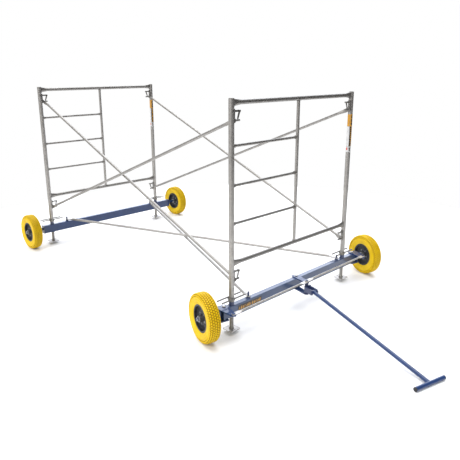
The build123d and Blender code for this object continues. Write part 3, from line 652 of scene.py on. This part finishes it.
def build_tyre(end, side, place):
    """A foam tyre with staggered lugs that wrap its shoulders.

    Its size is taken from the rear tyre, which stands square to the axes; the front ones are steered.
    """
    low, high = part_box(f"rear_{side}_tyre")
    outer, half_width = (high.z - low.z) / 2, (high.y - low.y) / 2
    tread = tread_places(outer, half_width)
    side_points = sidewall(outer, half_width)
    section = list(tread) + side_points + [(-along, radius) for along, radius in reversed(side_points)]

    def shape(along, radius, angle):
        """Sink the grooves between the lugs."""
        if (along, radius) not in tread:
            return along, radius
        share, (outward_along, outward_rise) = tread[along, radius]
        sunk = LUG_DEPTH * tread_depth(share, angle)
        return along - outward_along * sunk, radius - outward_rise * sunk

    builder = bmesh.new()
    revolve(builder, section, place, tread_angles(), shape)
    piece = finish_piece(f"{end}_{side}_lugged_tyre", builder, FOAM, f"{end}_{side}_wheel",
                         [f"{end}_{side}_tyre"])
    mark_grooves(piece, tread_angles(), [share for share, _ in tread.values()], len(section))


# ---- Rims, hubs and wheel bolts ----
def rim_shape(along, radius, angle):
    """Press broad spokes into the rim's two discs."""
    if SPOKE_START < radius < SPOKE_END and abs(along) < SPOKE_REACH:
        wave = max(0.0, cos(RIM_SPOKES * angle)) ** 0.6
        fade = sin(pi * (radius - SPOKE_START) / (SPOKE_END - SPOKE_START))
        return along + copysign(RIM_PRESSING, along) * wave * fade, radius
    return along, radius


def build_rim(end, side, place):
    """A pressed rim of two dished halves with a rolled flange on each edge."""
    half = [
        # The tyre's seat and the flange rolled outwards
        (0.0, 0.0985), (0.012, 0.0980), (0.020, 0.0992), (0.0335, 0.0996), (0.0336, 0.1090), (0.0350, 0.1100),
        (0.0368, 0.1098), (0.0375, 0.1085), (0.0375, 0.1010), (0.0366, 0.0962), (0.0300, 0.0955),
        # The disc, dished towards the wheel's middle
        (0.0180, 0.0950), (0.0130, 0.0930), (0.0105, 0.0890), (0.0100, 0.0850), (0.0105, 0.0780),
        (0.0115, 0.0700), (0.0125, 0.0620), (0.0135, 0.0560), (0.0150, 0.0500), (0.0160, 0.0440),
        # The collar round the hub
        (0.0165, 0.0380), (0.0180, 0.0330), (0.0215, 0.0305), (0.0260, 0.0290), (0.0260, 0.0262),
        (0.0, 0.0262),
    ]
    section = half + [(-along, radius) for along, radius in reversed(half[1:-1])]
    builder = bmesh.new()
    revolve(builder, section, place, even_angles(120), rim_shape)
    finish_piece(f"{end}_{side}_pressed_rim", builder, RIM_BLACK, f"{end}_{side}_wheel",
                 [f"{end}_{side}_rim"])


def build_hub(end, side, place):
    """A turned hub tube with a shielded bearing in each end."""
    hub = [(-0.0495, 0.0240), (-0.0480, 0.0255), (0.0480, 0.0255), (0.0495, 0.0240), (0.0500, 0.0225),
           (0.0500, 0.0212), (0.0380, 0.0212), (0.0380, 0.0160), (-0.0380, 0.0160), (-0.0380, 0.0212),
           (-0.0500, 0.0212), (-0.0500, 0.0225)]
    shield = [(0.0385, 0.0208), (0.0496, 0.0208), (0.0498, 0.0190), (0.0484, 0.0184), (0.0484, 0.0142),
              (0.0496, 0.0138), (0.0496, 0.0104), (0.0385, 0.0104)]
    builder = bmesh.new()
    revolve(builder, hub, place, even_angles(64))
    revolve(builder, shield, place, even_angles(64))
    revolve(builder, [(-along, radius) for along, radius in shield], place, even_angles(64))
    finish_piece(f"{end}_{side}_hub", builder, STEEL, f"{end}_{side}_wheel")


def build_wheel_bolts(end, side, place):
    """A circle of hexagon heads on each side of the rim."""
    builder = bmesh.new()
    for step in range(WHEEL_BOLTS):
        turn = tau * (step + 0.5) / WHEEL_BOLTS
        for facing in (1, -1):
            seat = place @ Vector((facing * BOLT_SEAT, BOLT_CIRCLE * sin(turn), BOLT_CIRCLE * cos(turn)))
            axis = place.to_3x3() @ Vector((facing, 0, 0))
            hexagon_head(builder, axle_place(seat, axis), *WHEEL_BOLT)
    finish_piece(f"{end}_{side}_wheel_bolts", builder, STEEL, f"{end}_{side}_wheel")


def build_wheels():
    """All four wheels, each on its own axle."""
    for end in ENDS:
        for side in SIDES:
            place = axle_place(*wheel_axle(end, side))
            build_tyre(end, side, place)
            build_rim(end, side, place)
            build_hub(end, side, place)
            build_wheel_bolts(end, side, place)


# ---- Screw jacks ----
def thread_radius(crest, height, turn):
    """Radius of a trapezoid thread at a height and an angle."""
    phase = (height / THREAD_PITCH - turn / tau) % 1.0
    return crest - THREAD_DEPTH * min(1.0, max(0.0, (abs(phase - 0.5) * 2 - THREAD_FLAT) / THREAD_FLAT))


def build_screw(end, side, turns=24, rows_per_turn=6):
    """A threaded screw, standing with its base plate for the CAD's jack screw."""
    low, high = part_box(f"{end}_{side}_jack_screw")
    place = (low + high) / 2
    plate_top = low.z + PLATE_THICKNESS
    rows = int((high.z - plate_top) / THREAD_PITCH * rows_per_turn)
    builder = bmesh.new()
    rings = []
    for row in range(rows + 1):
        height = (high.z - plate_top) * row / rows
        ring = []
        for turn in even_angles(turns):
            radius = thread_radius(SCREW_RADIUS, height, turn)
            ring.append(builder.verts.new((place.x + radius * cos(turn), place.y + radius * sin(turn),
                                           plate_top + height)))
        rings.append(ring)
    join_rings(builder, rings)
    builder.faces.new(rings[0][::-1])
    builder.faces.new(rings[-1])
    finish_piece(f"{end}_{side}_threaded_screw", builder, ZINC, f"{end}_{side}_jack_screw",
                 [f"{end}_{side}_jack_screw"])


def plate_outline(place, half, level):
    """A square with rounded corners; the nudge settles which corner a point between two belongs to."""
    straight, nudge = half - PLATE_CORNER, 0.01
    return [Vector((place.x + copysign(straight, cos(turn + nudge)) + PLATE_CORNER * cos(turn),
                    place.y + copysign(straight, sin(turn + nudge)) + PLATE_CORNER * sin(turn), level))
            for turn in even_angles(32)]


def build_base_plate(end, side):
    """The square plate under a screw, with two nail holes."""
    low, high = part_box(f"{end}_{side}_jack_screw")
    place = (low + high) / 2
    loops = [plate_outline(place, (high.x - low.x) / 2, low.z)]
    for offset in (-NAIL_SPACING / 2, NAIL_SPACING / 2):
        loops.append(flat_ring(Vector((place.x + offset, place.y, low.z)), NAIL_HOLE, 20))
    builder = bmesh.new()
    edges = []
    for loop in loops:
        points = [builder.verts.new(point) for point in loop]
        edges += [builder.edges.new((points[index], points[(index + 1) % len(points)]))
                  for index in range(len(points))]
    bmesh.ops.triangle_fill(builder, use_beauty=True, edges=edges)
    raised = bmesh.ops.extrude_face_region(builder, geom=list(builder.faces))
    lifted = [part for part in raised["geom"] if isinstance(part, bmesh.types.BMVert)]
    bmesh.ops.translate(builder, verts=lifted, vec=(0, 0, PLATE_THICKNESS))
    finish_piece(f"{end}_{side}_base_plate", builder, ZINC, f"{end}_{side}_jack_screw")


def build_plate_weld(end, side):
    """The bead round a screw's foot."""
    low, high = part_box(f"{end}_{side}_jack_screw")
    foot = (low + high) / 2
    foot.z = low.z + PLATE_THICKNESS + PLATE_BEAD_LIFT
    builder = bmesh.new()
    bead(builder, flat_ring(foot, SCREW_RADIUS + BEAD_LIFT, 60))
    finish_piece(f"{end}_{side}_plate_weld", builder, WELD, f"{end}_{side}_jack_screw")


# ---- Welds on the frames and beams ----
def saddle_path(leg, sign, half_height, half_width, level, squareness, count=54):
    """Where a bar of a rounded section meets an upright tube of the leg's size."""
    leg_radius = tube_radius("front_left_leg")
    path = []
    for turn in even_angles(count):
        across = half_width * squared(cos(turn), squareness)
        rise = half_height * squared(sin(turn), squareness)
        reach = max(0.0, leg_radius**2 - across**2) ** 0.5
        path.append(Vector((leg.x + across, leg.y + sign * (reach + SADDLE_LIFT), level + rise)))
    return path


def stile_side_path(stile, level):
    """Where a rung meets the ladder's stile."""
    path = []
    for turn in even_angles(36):
        across = RUNG_RADIUS * RUNG_WRAP * cos(turn)
        reach = max(0.0, STILE_RADIUS**2 - across**2) ** 0.5
        path.append(Vector((stile.x + across, stile.y - reach - STILE_LIFT,
                            level + RUNG_RADIUS * sin(turn))))
    return path


def stile_end_path(stile, level, facing):
    """Where the ladder's stile meets a cross bar above it or below it."""
    path = []
    for turn in even_angles(36):
        across = STILE_RADIUS * cos(turn)
        rise = (BAR_RADIUS**2 - across**2) ** 0.5
        path.append(Vector((stile.x + across, stile.y + STILE_RADIUS * sin(turn), level + facing * rise)))
    return path


def build_frame_welds(end):
    """Weld beads where each bar and rung meets its legs and the ladder's stile."""
    builder = bmesh.new()
    low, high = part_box(f"{end}_cross_bars")
    bar_levels = (low.z + BAR_MIDDLE, high.z - BAR_MIDDLE)
    for side, sign in SIDES.items():
        leg = middle(f"{end}_{side}_leg")
        for level in bar_levels:
            bead(builder, saddle_path(leg, -sign, *BAR_END, level, BAR_SQUARENESS))
    low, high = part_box(f"{end}_rungs")
    stile = middle(f"{end}_stile")
    leg = middle(f"{end}_right_leg")
    for step in range(3):
        level = low.z + RUNG_RADIUS + (high.z - low.z - 2 * RUNG_RADIUS) * step / 2
        bead(builder, saddle_path(leg, 1, RUNG_RADIUS, RUNG_RADIUS, level, 1.0, 36))
        bead(builder, stile_side_path(stile, level), STILE_SIDE_BEAD)
    for facing, level in zip((1, -1), bar_levels):
        bead(builder, stile_end_path(stile, level, facing), STILE_END_BEAD)
    finish_piece(f"{end}_frame_welds", builder, WELD, "frame")


def build_beam_welds(end):
    """Painted weld beads round the leg sleeves and studs on a beam's top."""
    builder = bmesh.new()
    low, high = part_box(f"{end}_beam")
    for side in SIDES:
        leg = middle(f"{end}_{side}_leg")
        for level in (high.z + BEAD_LIFT, low.z - BEAD_LIFT):
            bead(builder, flat_ring(Vector((leg.x, leg.y, level)), SLEEVE_WELD_RADIUS, 60))
        stud = middle(f"{end}_{side}_toggle")
        foot = Vector((stud.x, stud.y, high.z + BEAD_LIFT))
        bead(builder, flat_ring(foot, STUD_WELD_RADIUS, 48), STUD_BEAD)
    finish_piece(f"{end}_beam_welds", builder, NAVY, "frame")


def build_lock_welds():
    """Short beads down both edges of every lock plate."""
    across, inwards = LOCK_WELD_PLACE
    steps = 16
    builder = bmesh.new()
    for end in ENDS:
        for side, sign in SIDES.items():
            leg = middle(f"{end}_{side}_leg")
            for level in LEVELS:
                lever_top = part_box(f"{end}_{side}_{level}_lever")[1].z
                bottom = lever_top - LOCK_PLATE_DROP - LOCK_PLATE_HALF
                for edge in (-1, 1):
                    start = Vector((leg.x + edge * across, leg.y - sign * inwards, bottom))
                    line = [start + UP * (2 * LOCK_PLATE_HALF * step / steps) for step in range(steps + 1)]
                    back = [point + Vector((edge * LOCK_BEAD, 0, 0)) for point in reversed(line)]
                    bead(builder, line + back, LOCK_BEAD)
    finish_piece("lock_plate_welds", builder, WELD, "frame")


# ---- Bolts through the front beam ----
def build_pivot_bolts():
    """Hexagon bolts and nuts on the two kingpins and the steering arm's pivot."""
    low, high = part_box("pivot_pins")
    bottom, top = low.z + KINGPIN_BOLT[1], high.z - KINGPIN_BOLT[1]
    beam = middle("front_beam")
    builder = bmesh.new()
    for name in ("right_knuckle_steer", "steering", "left_knuckle_steer"):
        y = joints[name]["pos_m"][1]
        for level, facing in ((top, 1), (bottom, -1)):
            hexagon_head(builder, axle_place(Vector((beam.x, y, level)), UP * facing), *KINGPIN_BOLT)
        shaft = axle_place(Vector((beam.x, y, bottom)), UP)
        revolve(builder, [(0, KINGPIN_RADIUS), (top - bottom, KINGPIN_RADIUS)], shaft, even_angles(40),
                ring=False)
    finish_piece("pivot_bolts", builder, BRIGHT, "frame", ["pivot_pins"])


def build_axle_nuts():
    """A hexagon nut on the outer end of each stub axle, riding with what holds the axle."""
    for end in ENDS:
        for side in SIDES:
            centre, outward = wheel_axle(end, side)
            builder = bmesh.new()
            seat = axle_place(centre + outward * AXLE_NUT_SEAT, outward)
            hexagon_head(builder, seat, *AXLE_NUT, washer=1.12)
            body = "frame" if end == "rear" else f"{side}_knuckle"
            finish_piece(f"{end}_{side}_axle_nut", builder, BRIGHT, body)


# ---- Stickers: plain colours and abstract marks, with no lettering ----
def build_leg_stickers(end):
    """Two bands of film on a left leg: orange over dark outwards, orange over white to the right."""
    leg = middle(f"{end}_left_leg")
    leg_radius = tube_radius(f"{end}_left_leg")
    radii = (leg_radius + STICKER_GAP, leg_radius + STICKER)
    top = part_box(f"{end}_left_leg")[1].z - LABEL_TOP
    orange_end, dark_end, foot = (top - below for below in LABEL_BANDS)
    orange, dark, white = (orange_end, top), (dark_end, orange_end - 0.002), (foot, dark_end - 0.003)
    outer, inner = (radians(-48), radians(96)), (radians(-138), radians(-56))
    films = {
        "orange": (ORANGE_FILM, [(outer, orange), (inner, orange)]),
        "dark": (DARK_FILM, [(outer, dark)]),
        "white": (WHITE_FILM, [(inner, dark), (inner, white), ((outer[0], radians(10)), white)]),
    }
    for colour, (material, patches) in films.items():
        builder = bmesh.new()
        for angles, heights in patches:
            curved_plate(builder, leg, radii, angles, heights)
        finish_piece(f"{end}_leg_film_{colour}", builder, material, "frame")
    build_leg_marks(end, leg, (radii[1] + MARK_GAP, radii[1] + MARK_HEIGHT), orange_end, dark_end, foot)


def build_leg_marks(end, leg, marks, orange_end, dark_end, foot):
    """Abstract marks on a leg's films: rows of short bars, a dark patch and a red one."""
    builder = bmesh.new()
    margin, pitch, height = 0.008, 0.019, 0.009
    for step in range(9):
        bottom = dark_end + margin + step * pitch
        angles = (radians(-24), radians(44 - 16 * (step % 2)))
        curved_plate(builder, leg, marks, angles, (bottom, bottom + height))
    finish_piece(f"{end}_leg_marks_orange", builder, ORANGE_FILM, "frame")
    builder = bmesh.new()
    margin, pitch, height = 0.010, 0.031, 0.026
    for step in range(3):
        bottom = orange_end + margin + step * pitch
        curved_plate(builder, leg, marks, (radians(-27), radians(84)), (bottom, bottom + height))
    curved_plate(builder, leg, marks, (radians(-36), radians(-8)), (foot + 0.008, dark_end - 0.010))
    finish_piece(f"{end}_leg_marks_dark", builder, DARK_FILM, "frame")
    builder = bmesh.new()
    curved_plate(builder, leg, marks, (radians(-112), radians(-78)), (foot + 0.018, dark_end - 0.012))
    finish_piece(f"{end}_leg_marks_red", builder, RED_FILM, "frame")


def build_beam_sticker():
    """A dark strip on the front beam's face, with a row of plain leaning bars."""
    low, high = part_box("front_beam")
    leg = middle("front_right_leg")
    start, stop = (leg.y + reach for reach in BEAM_LABEL)
    below, above = BEAM_LABEL_MARGINS
    bottom, top = low.z + below, high.z - above
    builder = bmesh.new()
    block(builder, Vector((high.x + STICKER_GAP, start, bottom)), Vector((high.x + STICKER, stop, top)))
    finish_piece("beam_film", builder, DARK_FILM, "frame")
    builder = bmesh.new()
    count, edge, foot = 12, 0.008, 0.012
    step = (stop - start - 2 * edge) / count
    lean = Vector((0, 0.006, 0))
    front = Vector((0.0003, 0, 0))
    for index in range(count):
        share_across, share_up = 0.55 if index % 3 else 0.30, 0.50 if index % 2 else 0.42
        wide = Vector((0, step * share_across, 0))
        rise = Vector((0, 0, (top - bottom) * share_up))
        base = Vector((high.x + STICKER + MARK_GAP, start + edge + index * step, bottom + foot))
        corners = [base, base + wide, base + wide + lean + rise, base + lean + rise]
        back_loop = [builder.verts.new(corner) for corner in corners]
        front_loop = [builder.verts.new(corner + front) for corner in corners]
        builder.faces.new(front_loop)
        builder.faces.new(back_loop[::-1])
        join_rings(builder, [back_loop, front_loop])
    finish_piece("beam_marks", builder, ORANGE_FILM, "frame")


# ---- Studio ----
BACKDROP_WAY = (-0.68, 0.68, 0.27)
DARK_WAY = (0.70, 0.71, 0.0)
LIGHT_WALL = (0.66, 0.65, 0.64)
DARK_WALL = (0.125, 0.124, 0.122)
CEILING = (0.62, 0.66, 0.74)
BACKDROP = (2.7, 2.85, 3.2)
FLOOR_RADIUS = 4.2
LAMPS = (   # name, place, how wide it looks in degrees, strength
    ("key_lamp", (2.0, -6.8, 6.0), 44, 1.9),
    ("top_lamp", (-1.0, 1.0, 8.0), 62, 2.6),
)
CAMERA_PLACE = (2.666, -3.3926, 2.0189)     # ahead of and beside the front beam's middle, above the floor
CAMERA_LENS = 40.685
CAMERA_SHIFT = (-0.0049, -0.0408)
CAMERA_DIP = radians(15.44)
CAMERA_HEADING = radians(45.70)


def toward(tree, way, start, end):
    """How nearly a direction of the surround points the given way, from 0 at start to 1 at end."""
    coordinates = node(tree, "ShaderNodeTexCoord")
    facing = node(tree, "ShaderNodeVectorMath", operation="DOT_PRODUCT")
    facing.inputs[1].default_value = way
    tree.links.new(coordinates.outputs["Generated"], facing.inputs[0])
    return spread(tree, facing.outputs["Value"], 0.0, 1.0, start, end)


def build_surround():
    """A room with a dark side, a light side, a lit ceiling and a backdrop, so that metal shows bands."""
    world = bpy.data.worlds.new("studio_surround")
    world.use_nodes = True
    tree = world.node_tree
    walls = mix(tree, toward(tree, DARK_WAY, -0.55, 0.25), LIGHT_WALL, DARK_WALL)
    room = mix(tree, toward(tree, UP, 0.78, 0.96), walls, CEILING)
    room = mix(tree, toward(tree, BACKDROP_WAY, 0.76, 0.96), room, BACKDROP)
    dim, white = tree.nodes["Background"], node(tree, "ShaderNodeBackground", {"Color": (1, 1, 1, 1)})
    tree.links.new(room, dim.inputs["Color"])
    sight, blend = node(tree, "ShaderNodeLightPath"), node(tree, "ShaderNodeMixShader")
    tree.links.new(sight.outputs["Is Camera Ray"], blend.inputs["Fac"])
    tree.links.new(dim.outputs["Background"], blend.inputs[1])
    tree.links.new(white.outputs["Background"], blend.inputs[2])
    tree.links.new(blend.outputs["Shader"], tree.nodes["World Output"].inputs["Surface"])
    bpy.context.scene.world = world


def build_floor():
    """A plain pale floor."""
    floor_mesh = bpy.data.meshes.new("studio_floor")
    builder = bmesh.new()
    bmesh.ops.create_circle(builder, cap_ends=True, radius=FLOOR_RADIUS, segments=96)
    builder.to_mesh(floor_mesh)
    builder.free()
    floor = bpy.data.objects.new("studio_floor", floor_mesh)
    bpy.context.scene.collection.objects.link(floor)
    material, tree, principled = shader("pale_floor", (0.9, 0.9, 0.9), 0.0, 0.75)
    tone = ramp(tree, noise(tree, 0.8, 2), [(0.3, (0.88, 0.88, 0.88)), (0.7, (0.91, 0.91, 0.91))])
    tree.links.new(tone, principled.inputs["Base Color"])
    floor_mesh.materials.append(material)


def build_lamps():
    """Two wide soft lamps, turned to the middle of the scaffold."""
    low, high = cad_box
    target = (low + high) / 2
    for name, place, spread_angle, strength in LAMPS:
        light = bpy.data.lights.new(name, "SUN")
        light.angle = radians(spread_angle)
        light.energy = strength
        lamp = bpy.data.objects.new(name, light)
        lamp.location = place
        lamp.rotation_euler = (target - Vector(place)).to_track_quat("-Z", "Y").to_euler()
        bpy.context.scene.collection.objects.link(lamp)


def build_camera():
    """The viewing angle: from the front right, a little above the frames' tops."""
    bpy.context.scene.view_settings.view_transform = "Standard"
    camera_data = bpy.data.cameras.new("camera")
    camera_data.lens = CAMERA_LENS
    camera_data.shift_x, camera_data.shift_y = CAMERA_SHIFT
    camera_data.clip_end = 200
    camera = bpy.data.objects.new("camera", camera_data)
    beam = middle("front_beam")
    ahead, across, height = CAMERA_PLACE
    camera.location = (beam.x + ahead, beam.y + across, height)
    camera.rotation_euler = (pi / 2 - CAMERA_DIP, 0, CAMERA_HEADING)
    bpy.context.scene.collection.objects.link(camera)
    bpy.context.scene.camera = camera


build_camera()
finish_cad_nodes()
build_wheels()
for end in ENDS:
    for side in SIDES:
        build_screw(end, side)
        build_base_plate(end, side)
        build_plate_weld(end, side)
    build_frame_welds(end)
    build_beam_welds(end)
    build_leg_stickers(end)
build_lock_welds()
build_pivot_bolts()
build_axle_nuts()
build_beam_sticker()
build_floor()
build_surround()
build_lamps()
